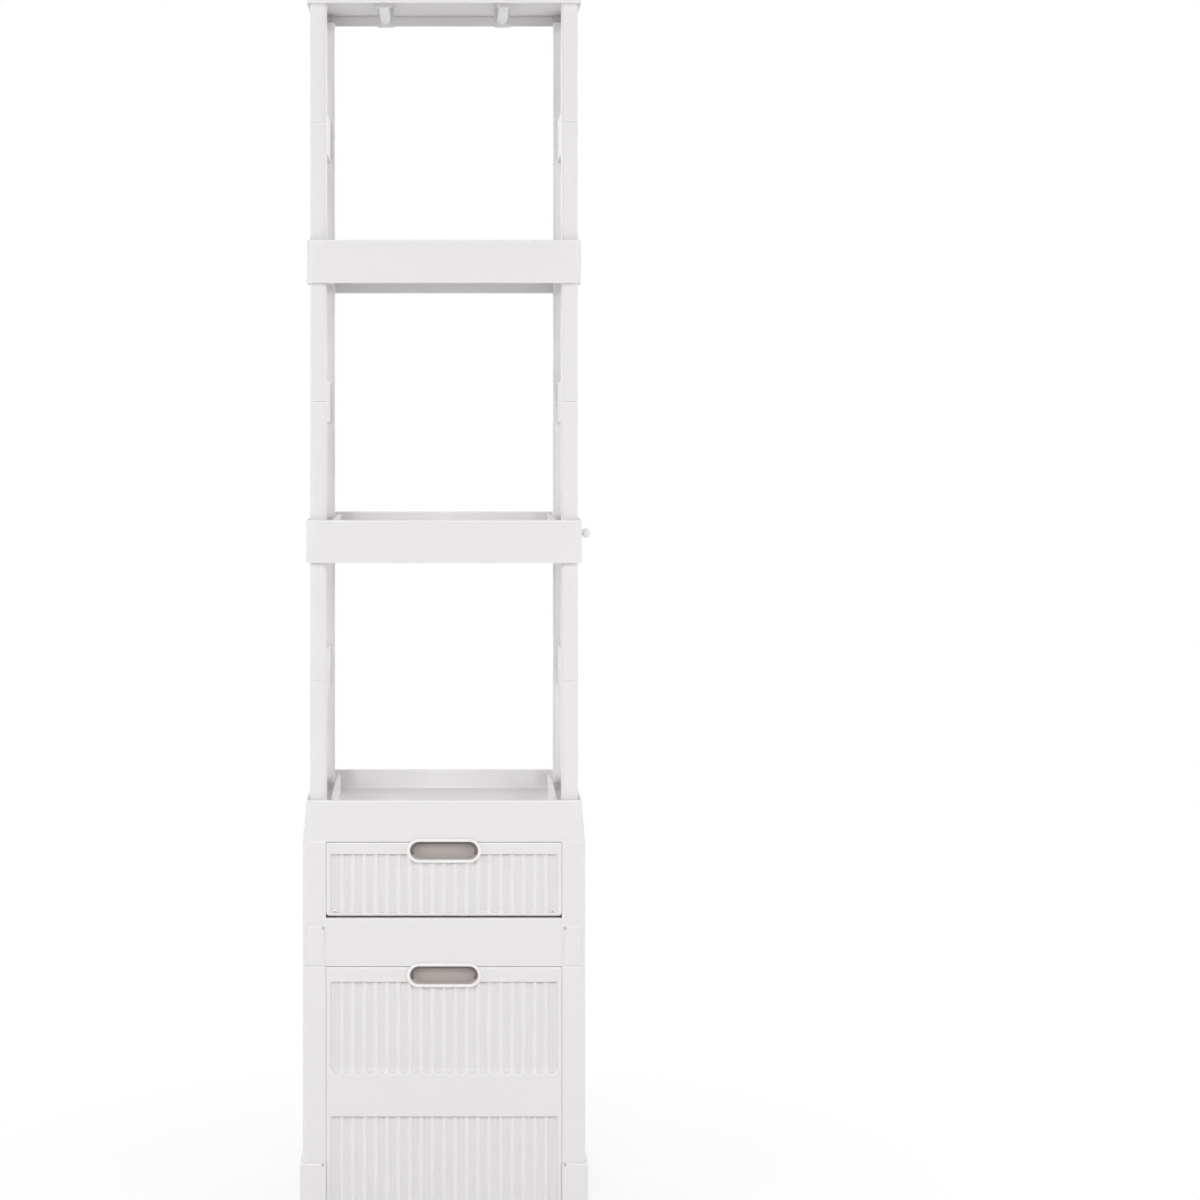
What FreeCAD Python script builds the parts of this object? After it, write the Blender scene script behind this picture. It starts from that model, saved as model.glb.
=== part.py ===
import FreeCAD, Part
import os
import re

# Folding plastic wardrobe: a two-door cabinet that carries three open shelves on folding side frames.
# The front faces -Y, +X is the right-hand side, +Z is up, and the floor under the feet is Z = 0.

doc = FreeCAD.newDocument("folding_wardrobe")
sheet = doc.addObject("Spreadsheet::Sheet", "Sizes")

SIZES = {
    "cab_w": 400, "cab_d": 330, "cab_wall": 4, "corner_r": 10, "edge_r": 2,
    "feet_h": 14, "foot_r": 15, "foot_in": 42,
    "flare_x": 4, "flare_y": 3, "base_h": 78, "base_floor": 12,
    "lower_h": 278, "mid_h": 58, "upper_h": 118, "top_h": 58,
    "ledge_h": 10, "ledge_d": 20, "flange_t": 5, "flange_back": 24, "back_t": 3,
    "cap_w": 23, "cap_t": 1.2, "cap_gap": 1.5,
    "taper_x": 4.5, "taper_y": 5, "shelf_h": 61, "shelf_wall": 3,
    "floor_drop": 28, "floor_t": 3, "gap": 336, "top_rear_lift": 14,
    "pad_w": 24, "pad_t": 6, "rib_in": 34, "rib_t": 4, "rib_end": 46, "rib_low": 2,
    "post_w": 23.5, "post_d": 28, "post_inset": 5, "post_r": 5, "end_over": 7.5,
    "pivot_in": 6.5, "pivot_drop": 7, "pivot_r": 4, "pin_cover": 2, "pin_end": 1, "fit": 0.08, "side_gap": 0.6,
    "hinge_out": 1, "knuckle_r": 5, "rod_r": 2.5, "knuckle_w": 24, "joint_gap": 0.15,
    "leaf_t": 6, "leaf_h": 22, "bar_h": 30, "bar_t": 12, "bar_in": 5.5,
    "stile_w": 33.5, "door_t": 16, "door_proud": 0.5, "door_gap": 0.4, "door_under": 0.8,
    "door_low_gap": 2.4, "door_pivot": 6, "door_round": 6, "door_pin_r": 3, "door_pin_in": 14,
    "boss_w": 14, "boss_h": 20, "boss_d": 18,
    "field_side": 6, "field_deep": 2, "field_top": 16.5, "lower_field_top": 21, "field_low": 5, "band_h": 66.5,
    "lower_field_h": 124, "flutes": 20, "flute_r": 7.3, "flute_lift": 3.7,
    "pull_w": 105, "pull_h": 34, "pull_lip": 4.5, "pull_t": 3, "pull_rise": 5.5, "pull_seat": 1, "cup_t": 3,
    "pocket_d": 5, "pocket_side": 20, "pocket_low": 18, "pocket_top": 5,
    "catch_x": 110, "catch_w": 26, "catch_h": 9, "catch_d": 12,
    "rail_r": 8, "rail_bore": 6.5, "rail_len": 190, "rail_x": 88, "rail_up": 13,
    "socket_w": 24, "socket_t": 9, "socket_in": 5,
    "peg_r": 4, "peg_ball": 6.5, "peg_len": 7.5, "peg_in": 40, "peg_drop": 20,
}
for row, (alias, value) in enumerate(SIZES.items(), start=1):
    sheet.set(f"A{row}", alias)
    sheet.set(f"B{row}", str(value))
    sheet.setAlias(f"B{row}", alias)
doc.recompute()

# Half widths and half depths that follow from other sizes.
TIES = {
    "shelf_x": "(cab_w / 2 - taper_x)",
    "shelf_y": "(cab_d / 2 - taper_y)",
    "base_x": "(cab_w / 2 + flare_x)",
    "base_y": "(cab_d / 2 + flare_y)",
    "door_x": "(cab_w / 2 - stile_w)",
    "field_x": "(cab_w / 2 - stile_w - field_side)",
}
TIED = re.compile(r"\b(" + "|".join(TIES) + r")\b")
WORDS = re.compile(r"\b(" + "|".join(SIZES) + r")\b")


def cells(text):
    """Spell out the tied half sizes in an expression, then point every named size at its cell."""
    text = TIED.sub(lambda found: TIES[found.group(1)], text)
    return WORDS.sub(r"Sizes.\1", text)


def bind(feature, **places):
    """Bind properties of a feature to expressions in the named sizes."""
    for name, text in places.items():
        feature.setExpression(name.replace("__", "."), cells(text))


def at(feature, x, y, z):
    bind(feature, Placement__Base__x=x, Placement__Base__y=y, Placement__Base__z=z)


def new_body(name):
    body = doc.addObject("PartDesign::Body", name)
    body.Label = name
    return body


def box(body, x, y, z, cut=False):
    """A block between two expressions along each axis, added or cut away."""
    feature = body.newObject("PartDesign::SubtractiveBox" if cut else "PartDesign::AdditiveBox", "Block")
    bind(feature, Length=f"({x[1]}) - ({x[0]})", Width=f"({y[1]}) - ({y[0]})", Height=f"({z[1]}) - ({z[0]})")
    at(feature, x[0], y[0], z[0])
    return feature


TURNS = {
    "X": FreeCAD.Rotation(FreeCAD.Vector(0, 1, 0), 90),
    "Y": FreeCAD.Rotation(FreeCAD.Vector(1, 0, 0), -90),
    "Z": FreeCAD.Rotation(),
}


def rod(body, axis, radius, start, length, cut=False):
    """A round bar along an axis from a starting point, added or cut away."""
    feature = body.newObject(
        "PartDesign::SubtractiveCylinder" if cut else "PartDesign::AdditiveCylinder", "Round")
    feature.Placement = FreeCAD.Placement(FreeCAD.Vector(), TURNS[axis])
    bind(feature, Radius=radius, Height=length)
    at(feature, *start)
    return feature


def ball(body, radius, centre, cut=False):
    """A ball added to a body or cut away."""
    feature = body.newObject("PartDesign::SubtractiveSphere" if cut else "PartDesign::AdditiveSphere", "Ball")
    bind(feature, Radius=radius)
    at(feature, *centre)
    return feature


def round_edges(body, radius, pick):
    """Round the picked edges of a body as it stands."""
    doc.recompute()
    base = body.Tip
    names = [f"Edge{n}" for n, edge in enumerate(base.Shape.Edges, start=1) if pick(edge)]
    feature = body.newObject("PartDesign::Fillet", "Rounding")
    feature.Base = (base, names)
    bind(feature, Radius=radius)
    return feature


def upright(edge):
    box_of = edge.BoundBox
    return box_of.ZLength > 3 * max(box_of.XLength, box_of.YLength, 0.1)


def level_at(z):
    """Pick the level edges that lie at one height."""
    return lambda edge: edge.BoundBox.ZLength < 0.01 and abs(edge.BoundBox.ZMin - z) < 0.01


def span(side, inner, outer):
    """The X range between two distances from the centre plane, on the left (-1) or the right (1)."""
    return (f"-({outer})", f"-({inner})") if side < 0 else (inner, outer)


def both(half):
    return (f"-({half})", half)


def value(text):
    """A plain number for an expression in the named sizes, for choosing edges."""
    return float(FreeCAD.Units.Quantity(str(sheet.evalExpression(cells(text)))).Value)


SIDES = {"left": -1, "right": 1}
SECTIONS = (1, 2, 3)

BASE_TOP = "feet_h + base_h"
MID_LOW = BASE_TOP + " + lower_h"
MID_TOP = MID_LOW + " + mid_h"
TOP_LOW = MID_TOP + " + upper_h"
CAB_RIM = TOP_LOW + " + top_h"
FRONT = "-cab_d / 2"
POST_OUT = "shelf_x - post_inset"
POST_IN = POST_OUT + " - post_w"
PIVOT_X = POST_OUT + " - pivot_in"
HINGE_X = POST_OUT + " + hinge_out"
PAD_FACE = "shelf_y - shelf_wall - pad_t"
POST_FACE = PAD_FACE + " - side_gap"
DOOR_FRONT = FRONT + " - door_proud"
DOOR_BACK = DOOR_FRONT + " + door_t"
DOOR_AXIS_Y = DOOR_FRONT + " + door_t / 2"
STILE_IN = "door_x + door_gap"


def rim(section):
    """Height of the rim on which a section's side frames stand."""
    return f"{CAB_RIM} + {section - 1} * (gap + shelf_h)"


def skirt(section):
    """Height of the lower edge of the shelf that a section carries."""
    return f"{rim(section)} + gap"


def tray_inside(body, low, high, pivots_above=True, pivots_below=True):
    """Hollow a tray above and below its floor, then add its pivot pads, side ribs and pivot holes."""
    inner_x = both("shelf_x - shelf_wall")
    inner_y = both("shelf_y - shelf_wall")
    box(body, inner_x, inner_y, (f"{high} - floor_drop", f"{high} + 1"), cut=True)
    box(body, inner_x, inner_y, (f"{low} - 1", f"{high} - floor_drop - floor_t"), cut=True)
    for side in SIDES.values():
        pad_x = span(side, "shelf_x - shelf_wall - pad_w", "shelf_x - shelf_wall / 2")
        for end in SIDES.values():
            box(body, pad_x, span(end, PAD_FACE, "shelf_y - shelf_wall / 2"), (low, high))
        if pivots_above:
            rib_x = span(side, "shelf_x - rib_in - rib_t", "shelf_x - rib_in")
            box(body, rib_x, both("shelf_y - rib_end"),
                (f"{high} - floor_drop - floor_t / 2", f"{high} - rib_low"))
    heights = []
    if pivots_above:
        heights.append(f"{high} - pivot_drop")
    if pivots_below:
        heights.append(f"{low} + pivot_drop")
    for side in SIDES.values():
        for height in heights:
            rod(body, "Y", "pivot_r + fit",
                (f"{side} * ({PIVOT_X})", "-(shelf_y - pin_cover)", height),
                "2 * (shelf_y - pin_cover)", cut=True)


def make_shelf(name, section, top=False):
    """One open shelf: a tray with a deep skirt, hinged to the side frames under and over it."""
    low = skirt(section)
    high = low + " + shelf_h"
    body = new_body(name)
    box(body, both("shelf_x"), both("shelf_y"), (low, high))
    round_edges(body, "corner_r", upright)
    low_z, high_z = value(low), value(high)
    round_edges(body, "edge_r * 0.6", lambda e: level_at(low_z)(e) or level_at(high_z)(e))
    tray_inside(body, low, high, pivots_above=not top)
    if top:
        box(body, both("shelf_x - shelf_wall - pad_w"),
            ("shelf_y - shelf_wall - 1", "shelf_y + 1"),
            (f"{low} - 1", f"{low} + top_rear_lift"), cut=True)
    return body


def make_half_frame(section, side_name, upper):
    """Half of a side frame: two half posts, the bar between them, pivot pins and hinge knuckles."""
    side = SIDES[side_name]
    middle = f"({rim(section)}) + gap / 2"
    if upper:
        pivot = f"{skirt(section)} + pivot_drop"
        post_z = (f"{middle} + joint_gap", f"{pivot} + end_over")
        bar_z = (f"{middle} + joint_gap", f"{middle} + joint_gap + bar_h")
        leaf_z = (f"{middle} + joint_gap", f"{middle} + leaf_h")
        leaves = [("-(knuckle_w / 2)", "knuckle_w")]
    else:
        pivot = f"{rim(section)} - pivot_drop"
        post_z = (f"{pivot} - end_over", f"{middle} - joint_gap")
        bar_z = (f"{middle} - joint_gap - bar_h", f"{middle} - joint_gap")
        leaf_z = (f"{middle} - leaf_h", f"{middle} - joint_gap")
        leaves = [("-(knuckle_w * 1.5 + joint_gap)", "knuckle_w"), ("knuckle_w / 2 + joint_gap", "knuckle_w")]
    level = "upper" if upper else "lower"
    body = new_body(f"s{section}_{side_name}_{level}")
    post_x = span(side, POST_IN, POST_OUT)
    front_y = (f"-({POST_FACE})", f"-({POST_FACE}) + post_d")
    rear_y = (f"{POST_FACE} - post_d", POST_FACE)
    bar_x = span(side, f"{POST_OUT} - bar_in - bar_t", f"{POST_OUT} - bar_in")
    box(body, post_x, front_y, post_z)
    box(body, bar_x, (f"-({POST_FACE}) + post_d / 2", f"{POST_FACE} - post_d / 2"), bar_z)
    box(body, post_x, rear_y, post_z)
    end_z = value(post_z[1] if upper else post_z[0])
    outer_x = side * value(POST_OUT)
    long_edge = value("gap") / 4

    def posts_and_ends(edge):
        box_of = edge.BoundBox
        corner = abs(box_of.XMin - outer_x) < 0.01 and box_of.XLength < 0.01
        return (upright(edge) and box_of.ZLength > long_edge) or (corner and level_at(end_z)(edge))

    round_edges(body, "post_r", posts_and_ends)
    for start, length in leaves:
        stop = f"({start}) + ({length})"
        box(body, span(side, f"{POST_OUT} - leaf_t", POST_OUT), (start, stop), leaf_z)
        rod(body, "Y", "knuckle_r", (f"{side} * ({HINGE_X})", start, middle), length)
    pin_length = "side_gap + pad_t + shelf_wall - pin_cover - pin_end"
    for end in SIDES.values():
        pin_y = span(end, f"{POST_FACE} - post_d / 2", f"{POST_FACE} + {pin_length}")
        rod(body, "Y", "pivot_r", (f"{side} * ({PIVOT_X})", pin_y[0], pivot), f"post_d / 2 + {pin_length}")
    bore = "rod_r + fit" if upper else "rod_r"
    rod(body, "Y", bore, (f"{side} * ({HINGE_X})", "-knuckle_w * 2", middle), "knuckle_w * 4", cut=True)
    return body


def make_hinge_rod(section, side_name):
    """Steel rod through the knuckles in the middle of a side frame."""
    body = new_body(f"s{section}_{side_name}_rod")
    start = (f"{SIDES[side_name]} * ({HINGE_X})", "-(knuckle_w * 1.5 + joint_gap)", f"({rim(section)}) + gap / 2")
    rod(body, "Y", "rod_r", start, "knuckle_w * 3 + 2 * joint_gap")
    return body


def make_cabinet_top():
    """Top of the cabinet: a tray whose skirt widens downwards to the width of the cabinet."""
    body = new_body("cabinet_top")
    wedge = body.newObject("PartDesign::AdditiveWedge", "Skirt")
    wedge.Placement = FreeCAD.Placement(FreeCAD.Vector(), FreeCAD.Rotation(FreeCAD.Vector(1, 0, 0), 90))
    bind(wedge, Xmin="-cab_w / 2", Xmax="cab_w / 2", Zmin="-cab_d / 2", Zmax="cab_d / 2", Ymin="0", Ymax="top_h",
         X2min="-shelf_x", X2max="shelf_x", Z2min="-shelf_y", Z2max="shelf_y")
    bind(wedge, Placement__Base__z=TOP_LOW)
    round_edges(body, "corner_r", upright)
    round_edges(body, "edge_r * 0.6", level_at(value(CAB_RIM)))
    tray_inside(body, TOP_LOW, CAB_RIM, pivots_below=False)
    return body


def make_middle_frame():
    """Frame between the two boxes of the cabinet, with the ledge under the upper door."""
    body = new_body("middle_frame")
    box(body, both("cab_w / 2"), both("cab_d / 2"), (MID_LOW, MID_TOP))
    round_edges(body, "corner_r", upright)
    box(body, both("cab_w / 2 - cab_wall"), both("cab_d / 2 - corner_r"),
        (f"{MID_LOW} - 1", f"{MID_TOP} - cab_wall"), cut=True)
    box(body, both(STILE_IN), (FRONT, f"{FRONT} + ledge_d"), (f"{MID_TOP} - cab_wall / 2", f"{MID_TOP} + ledge_h"))
    return body


def make_base():
    """Base tray with the recess for the lower door and the corner blocks that carry its pins."""
    front = "-base_y"
    back_wall = f"{DOOR_BACK} + door_gap"
    body = new_body("base_frame")
    box(body, both("base_x"), both("base_y"), ("feet_h", BASE_TOP))
    round_edges(body, "corner_r", upright)
    top_z = value(BASE_TOP)
    round_edges(body, "edge_r", level_at(top_z))
    box(body, both("base_x - corner_r"), (f"{back_wall} + cab_wall", "base_y - cab_wall"),
        ("feet_h + base_floor", f"{BASE_TOP} + 1"), cut=True)
    box(body, both("base_x - corner_r"), (f"{back_wall} + cab_wall", "base_y - cab_wall"),
        ("feet_h - 1", "feet_h + base_floor - cab_wall"), cut=True)
    box(body, both(STILE_IN), (f"{front} - 1", back_wall), ("feet_h - 1", f"{BASE_TOP} + 1"), cut=True)
    for side in SIDES.values():
        start = f"{STILE_IN} - 1" if side > 0 else f"-({STILE_IN}) + 1 - (door_pin_in + 1)"
        rod(body, "X", "door_pin_r + fit", (start, DOOR_AXIS_Y, door_axis("lower")), "door_pin_in + 1", cut=True)
    return body


def door_low(name):
    return f"{MID_TOP} + ledge_h + door_low_gap" if name == "upper" else "feet_h + door_low_gap"


def door_high(name):
    return f"{TOP_LOW if name == 'upper' else MID_LOW} - door_under"


def door_axis(name):
    return f"{door_low(name)} + door_pivot"


def make_side_panel(name, side_name, low, high):
    """Side wall of one box: a thin sheet with a broad front stile and a narrow rear flange."""
    side = SIDES[side_name]
    body = new_body(f"{name}_{side_name}_panel")
    box(body, span(side, "cab_w / 2 - cab_wall", "cab_w / 2"), both("cab_d / 2"), (low, high))
    box(body, span(side, STILE_IN, "cab_w / 2"), (FRONT, f"{FRONT} + flange_t"), (low, high))
    box(body, span(side, "cab_w / 2 - flange_back", "cab_w / 2"), ("cab_d / 2 - flange_t", "cab_d / 2"), (low, high))
    outer_x = side * value("cab_w / 2")
    round_edges(body, "corner_r * 0.45", lambda e: upright(e) and abs(e.BoundBox.XMin - outer_x) < 0.01)
    if name == "upper":
        box(body, span(side, STILE_IN, f"{STILE_IN} + boss_w"), (FRONT, f"{FRONT} + boss_d"),
            (low, f"{low} + ledge_h + door_low_gap + boss_h"))
        start = f"{STILE_IN} - 1" if side > 0 else f"-({STILE_IN}) + 1 - (door_pin_in - 1)"
        rod(body, "X", "door_pin_r + fit", (start, DOOR_AXIS_Y, door_axis(name)), "door_pin_in - 1", cut=True)
    return body


def make_back_panel(name, low, high):
    body = new_body(f"{name}_back_panel")
    box(body, both("cab_w / 2 - cab_wall"), ("cab_d / 2 - flange_t - back_t", "cab_d / 2 - flange_t"), (low, high))
    return body


def axis_of(body, role):
    return next(o for o in body.Origin.OriginFeatures if o.Role == role)


def make_door(name):
    """Drop-down door with recessed fluted fields; the lower door has a plain band with a scalloped top edge."""
    low, high = door_low(name), door_high(name)
    body = new_body(f"{name}_door")
    box(body, both("door_x"), (DOOR_FRONT, DOOR_BACK), (low, high))
    round_edges(body, "door_round", level_at(value(low)))
    round_edges(body, "edge_r * 0.5", level_at(value(high)))
    field_high = f"{high} - {'lower_field_top' if name == 'lower' else 'field_top'}"
    band_high = f"{field_high} - lower_field_h"
    if name == "upper":
        fields = [(f"{low} + field_low", field_high)]
    else:
        fields = [(band_high, field_high), (f"{low} + field_low + door_round", f"{band_high} - band_h")]
    recess = (f"{DOOR_FRONT} - 1", f"{DOOR_FRONT} + field_deep")
    for z in fields:
        box(body, both("field_x"), recess, z, cut=True)
    pitch = "2 * field_x / flutes"
    for z in fields:
        foot = (f"-field_x + {pitch} / 2", f"{DOOR_FRONT} + field_deep - flute_lift", z[0])
        originals = [rod(body, "Z", "flute_r", foot, f"({z[1]}) - ({z[0]})", cut=True)]
        if z[0] == band_high:
            originals.append(ball(body, "flute_r", foot, cut=True))
        row = body.newObject("PartDesign::LinearPattern", "Flutes")
        row.Originals = originals
        row.Direction = (axis_of(body, "X_Axis"), [""])
        bind(row, Length=f"2 * field_x - {pitch}", Occurrences="flutes")
        body.Tip = row
    pocket_high = f"{pull_z(name)} - pull_h / 2 - pocket_top"
    pockets = [(f"{low} + pocket_low", pocket_high)]
    if name == "lower":
        band_low = f"{band_high} - band_h"
        pockets = [(f"{low} + pocket_low", f"{band_low} - rib_t / 2"),
                   (f"{band_low} + rib_t / 2", f"{band_high} - rib_t / 2"),
                   (f"{band_high} + rib_t / 2", pocket_high)]
    for z in pockets:
        box(body, both("door_x - pocket_side"), (f"{DOOR_BACK} - pocket_d", f"{DOOR_BACK} + 1"), z, cut=True)
    capsule(body, name, "pull_w / 2 - pull_seat", "pull_h / 2 - pull_seat", DOOR_FRONT, "door_t - cup_t")
    box(body, both("pull_w / 2"), (f"{DOOR_FRONT} - 1", f"{DOOR_BACK} + 1"), (high, f"{high} + pull_rise"), cut=True)
    capsule(body, name, "pull_w / 2 - pull_lip", "pull_h / 2 - pull_lip",
            f"{DOOR_FRONT} - 1", "door_t - cup_t + 1", cut=True)
    for side in SIDES.values():
        start = "door_x - door_pin_in" if side > 0 else "-(door_x)"
        rod(body, "X", "door_pin_r", (start, DOOR_AXIS_Y, door_axis(name)), "door_pin_in", cut=True)
    return body


def pull_z(name):
    return f"{door_high(name)} + pull_rise - pull_h / 2"


def capsule(body, name, half_w, half_h, y, depth, cut=False):
    """A capsule at a door's finger pull, added to a body or cut away."""
    z = pull_z(name)
    box(body, both(f"{half_w} - ({half_h})"), (y, f"{y} + {depth}"),
        (f"{z} - ({half_h})", f"{z} + ({half_h})"), cut=cut)
    for side in SIDES.values():
        rod(body, "Y", half_h, (f"{side} * ({half_w} - ({half_h}))", y, z), depth, cut=cut)


def make_pull(name):
    """Capsule rim round the opening of a finger pull."""
    body = new_body(f"{name}_pull")
    z = pull_z(name)
    back = DOOR_FRONT
    front = f"{DOOR_FRONT} - pull_t"
    half_w, half_h = "pull_w / 2", "pull_h / 2"
    box(body, both(f"{half_w} - {half_h}"), (front, back), (f"{z} - {half_h}", f"{z} + {half_h}"))
    for side in SIDES.values():
        rod(body, "Y", half_h, (f"{side} * ({half_w} - {half_h})", front, z), "pull_t")
    front_y = value(front)
    round_edges(body, "pull_t * 0.4",
                lambda e: e.BoundBox.YLength < 0.01 and abs(e.BoundBox.YMin - front_y) < 0.01)
    capsule(body, name, "pull_w / 2 - pull_lip", "pull_h / 2 - pull_lip",
            f"{front} - 1", "pull_t + 2", cut=True)
    return body


def group(name, members):
    """Several loose pieces of one kind kept as one part."""
    compound = doc.addObject("Part::Compound", name)
    compound.Label = name
    compound.Links = members
    return compound


def make_door_pins(name):
    pins = []
    reach = "door_gap + door_pin_in - 3"
    for side_name, side in SIDES.items():
        pin = doc.addObject("Part::Cylinder", f"{name}_pin_{side_name}")
        pin.Placement = FreeCAD.Placement(FreeCAD.Vector(), TURNS["X"])
        bind(pin, Radius="door_pin_r", Height=f"door_pin_in + {reach}")
        start = "door_x - door_pin_in" if side > 0 else f"-(door_x + {reach})"
        at(pin, start, DOOR_AXIS_Y, door_axis(name))
        pins.append(pin)
    return group(f"{name}_door_pins", pins)


def block(name, x, y, z):
    """A plain rectangular piece."""
    piece = doc.addObject("Part::Box", name)
    bind(piece, Length=f"({x[1]}) - ({x[0]})", Width=f"({y[1]}) - ({y[0]})", Height=f"({z[1]}) - ({z[0]})")
    at(piece, x[0], y[0], z[0])
    return piece


def make_catches():
    """Magnet blocks that hold the tops of the doors, fixed under the bands over them."""
    pieces = []
    for name, high in (("lower", MID_TOP), ("upper", f"{CAB_RIM} - floor_drop - floor_t + cab_wall")):
        for side_name, side in SIDES.items():
            x = span(side, "catch_x - catch_w / 2", "catch_x + catch_w / 2")
            y = (f"{DOOR_BACK} + side_gap", f"{DOOR_BACK} + side_gap + catch_d")
            pieces.append(block(f"{name}_catch_{side_name}", x, y,
                                (f"{door_high(name)} - catch_h", f"{high} - cab_wall")))
    return group("door_catches", pieces)


def make_middle_caps():
    pieces = []
    for side_name, side in SIDES.items():
        x = span(side, "cab_w / 2 - corner_r - cap_w + 3", "cab_w / 2 - corner_r + 3")
        pieces.append(block(f"cap_{side_name}", x, (f"{FRONT} - cap_t", f"{FRONT}"),
                            (f"{MID_LOW} + cap_gap", f"{MID_TOP} - cap_gap")))
    return group("middle_caps", pieces)


def make_feet():
    pieces = []
    for side_name, side in SIDES.items():
        for end_name, end in (("front", -1), ("rear", 1)):
            foot = doc.addObject("Part::Cylinder", f"foot_{side_name}_{end_name}")
            bind(foot, Radius="foot_r", Height="feet_h + base_floor - cab_wall")
            at(foot, f"{side} * (base_x - foot_in)", f"{end} * (base_y - foot_in)", "0")
            pieces.append(foot)
    return group("feet", pieces)


RAIL_Z = f"{skirt(3)} + rail_up"
RAIL_END = "rail_len / 2"


def make_rail(side_name):
    """Hanging rail under the top shelf, running from front to back."""
    body = new_body(f"{side_name}_rail")
    start = (f"{SIDES[side_name]} * rail_x", f"-{RAIL_END}", RAIL_Z)
    rod(body, "Y", "rail_r", start, "rail_len")
    rod(body, "Y", "rail_bore", start, "rail_len", cut=True)
    return body


def make_rail_socket(side_name, end_name, end):
    """Hanger block that joins one end of a rail to the floor of the top shelf."""
    body = new_body(f"{side_name}_socket_{end_name}")
    x = SIDES[side_name]
    inner = f"{RAIL_END} - socket_in"
    box(body, (f"{x} * rail_x - socket_w / 2", f"{x} * rail_x + socket_w / 2"),
        span(end, inner, f"{inner} + socket_t"),
        (f"{RAIL_Z} - rail_r - 2", f"{skirt(3)} + shelf_h - floor_drop - floor_t"))
    start = f"-({RAIL_END})" if end < 0 else inner
    rod(body, "Y", "rail_r", (f"{x} * rail_x", start, RAIL_Z), "socket_in", cut=True)
    return body


def make_peg():
    """Ball-ended hanging peg on the right side of the lower shelf."""
    body = new_body("side_peg")
    z = f"{skirt(1)} + shelf_h - peg_drop"
    rod(body, "X", "peg_r", ("shelf_x", "-(shelf_y - peg_in)", z), "peg_len")
    ball(body, "peg_ball", ("shelf_x + peg_len", "-(shelf_y - peg_in)", z))
    return body


nodes = [
    make_base(), make_middle_frame(), make_cabinet_top(),
    make_side_panel("lower", "left", BASE_TOP, MID_LOW), make_side_panel("lower", "right", BASE_TOP, MID_LOW),
    make_side_panel("upper", "left", MID_TOP, TOP_LOW), make_side_panel("upper", "right", MID_TOP, TOP_LOW),
    make_back_panel("lower", BASE_TOP, MID_LOW), make_back_panel("upper", MID_TOP, TOP_LOW),
    make_door("lower"), make_door("upper"), make_pull("lower"), make_pull("upper"),
    make_door_pins("lower"), make_door_pins("upper"),
    make_catches(), make_middle_caps(), make_feet(),
    make_shelf("lower_shelf", 1), make_shelf("upper_shelf", 2), make_shelf("top_shelf", 3, top=True),
    make_peg(),
]
for section in SECTIONS:
    for side_name in SIDES:
        nodes.append(make_half_frame(section, side_name, upper=False))
        nodes.append(make_half_frame(section, side_name, upper=True))
        nodes.append(make_hinge_rod(section, side_name))
for side_name in SIDES:
    nodes.append(make_rail(side_name))
    for end_name, end in (("front", -1), ("rear", 1)):
        nodes.append(make_rail_socket(side_name, end_name, end))

doc.recompute()
for item in doc.Objects:
    if "Invalid" in item.State or "Error" in item.State:
        raise RuntimeError(f"{item.Label} did not build")
os.makedirs("parts", exist_ok=True)
for node in nodes:
    shape = node.Shape
    if shape.isNull() or not shape.isValid():
        raise RuntimeError(f"{node.Label} has no valid shape")
    shape.exportStep(f"parts/{node.Label}.step")
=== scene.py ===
import math

import bmesh
import bpy
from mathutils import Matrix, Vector


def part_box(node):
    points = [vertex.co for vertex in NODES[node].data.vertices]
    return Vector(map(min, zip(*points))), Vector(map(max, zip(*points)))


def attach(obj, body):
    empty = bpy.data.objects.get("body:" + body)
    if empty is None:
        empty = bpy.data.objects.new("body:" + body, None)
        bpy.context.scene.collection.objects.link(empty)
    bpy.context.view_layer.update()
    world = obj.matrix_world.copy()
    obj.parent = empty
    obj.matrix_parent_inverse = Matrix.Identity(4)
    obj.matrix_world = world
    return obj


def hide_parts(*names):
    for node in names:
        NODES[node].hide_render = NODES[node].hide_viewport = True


bl_info = {
    "name": "Folding wardrobe looks",
    "version": (1, 0, 0),
    "blender": (4, 5, 0),
    "location": "3D View > Sidebar > Wardrobe",
    "description": "Dresses the folding plastic wardrobe with moulded details, finishes and a studio",
    "category": "Object",
}

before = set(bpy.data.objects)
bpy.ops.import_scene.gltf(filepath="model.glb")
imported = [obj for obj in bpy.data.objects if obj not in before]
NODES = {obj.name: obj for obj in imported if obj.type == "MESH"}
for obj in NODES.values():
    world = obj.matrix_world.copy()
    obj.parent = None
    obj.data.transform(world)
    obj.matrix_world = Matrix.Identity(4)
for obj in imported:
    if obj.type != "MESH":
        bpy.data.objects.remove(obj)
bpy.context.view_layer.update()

# Tones of the effects and the stage, with alpha

WHITE = (1, 1, 1, 1)
COOL_TONE = (0.74, 0.75, 0.77, 1)
WARM_TONE = (0.9, 0.87, 0.83, 1)
DUST_TONE = (0.56, 0.51, 0.47, 1)
# Painted shade: the dark tone laid into inner corners and under ledges
CORNER_SHADE_TONE = (0.36, 0.29, 0.26, 1)
# Scuff tone, laid on rubber edges by the mask of wear and painted highlight
SCUFF_AND_LIT_TONE = (0.34, 0.33, 0.32, 1)
FLOOR_TONE = (0.88, 0.88, 0.875, 1)
SURROUND_TONE = (1.0, 0.97, 0.955, 1)

# Edge colours of the finger pulls, blended in by the mask of edge wear and painted highlight

BEAD_EDGE = (0.9, 0.9, 0.9)
PLATE_EDGE = (0.55, 0.52, 0.5)

# Reach of the effects at edges and corners, in metres

SOFT_EDGE = 0.0011
WORN_AND_LIT_EDGE = 0.003
SHADE_REACH = 0.005

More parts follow.
